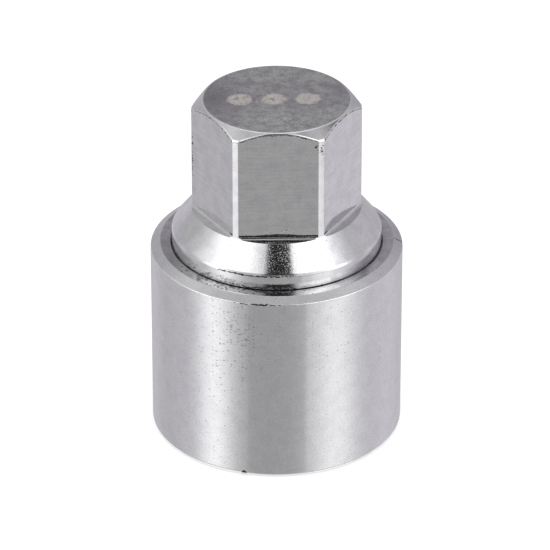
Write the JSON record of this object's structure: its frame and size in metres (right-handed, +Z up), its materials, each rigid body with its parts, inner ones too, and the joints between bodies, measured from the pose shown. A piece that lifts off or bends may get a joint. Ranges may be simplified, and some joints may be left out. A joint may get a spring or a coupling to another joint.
{
  "type": "locking wheel nut key",
  "caption": "Round steel guide sleeve with a pressed-in core: a hexagonal drive head above a sloping shoulder, and a wavy lock ridge inside the socket below.",
  "frame": {"origin": "centre of the sleeve's lower rim, on the axis, on the surface that the key stands on", "axes": "+Z up along the key's axis towards the hexagon's top face; one flat of the hexagon faces -Y"},
  "size_m": [0.032, 0.032, 0.0457],
  "materials": {
    "core_plating": "satin",
    "sleeve_plating": "satin"
  },
  "bodies": {
    "root": {"drive_core": "core_plating", "guide_sleeve": "sleeve_plating"}
  },
  "joints": []
}
